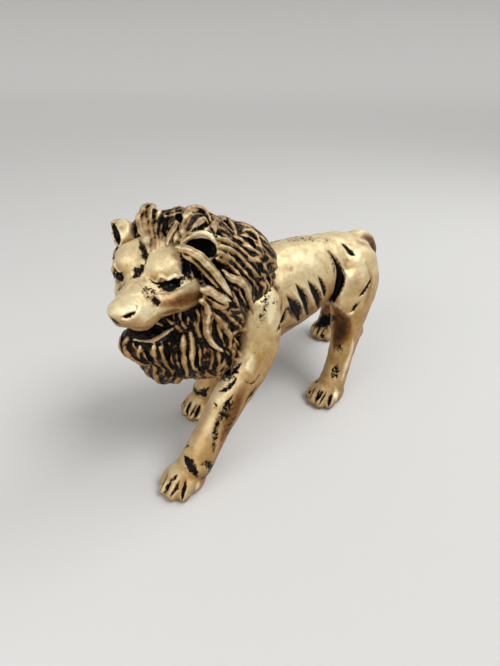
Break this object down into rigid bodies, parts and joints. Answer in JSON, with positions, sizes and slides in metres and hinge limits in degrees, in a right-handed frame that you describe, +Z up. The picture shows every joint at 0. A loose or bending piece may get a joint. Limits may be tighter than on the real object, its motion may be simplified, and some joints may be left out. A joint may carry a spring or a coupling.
{
  "type": "toy animal figure",
  "caption": "Striding lion figure with a turned head, open jaws, full curled mane and hanging tail, cast in pegged pieces with a worn antique gold finish.",
  "frame": {"origin": "centre of the footprint's bounding box, on the ground under the paws", "axes": "+Z up, the lion walks towards -Y, +X is its left side"},
  "size_m": [0.07, 0.2066, 0.1315],
  "materials": {
    "gold_casting": "cast resin with satin antique gold paint, rubbed black in the grooves",
    "dark_patina_gold": "cast resin with satin antique gold on the locks and black paint between them",
    "black_eye": "glossy black"
  },
  "bodies": {
    "root": {"torso_left": "gold_casting", "torso_right": "gold_casting", "front_left_leg": "gold_casting", "front_right_leg": "gold_casting", "hind_left_leg": "gold_casting", "hind_right_leg": "gold_casting", "tail": "gold_casting", "head": "gold_casting", "lower_jaw": "gold_casting", "ear_left": "gold_casting", "ear_right": "gold_casting", "eye_left": "black_eye", "eye_right": "black_eye", "mane_crest": "dark_patina_gold", "mane_left": "dark_patina_gold", "mane_right": "dark_patina_gold", "chest_ruff": "dark_patina_gold"}
  },
  "joints": []
}
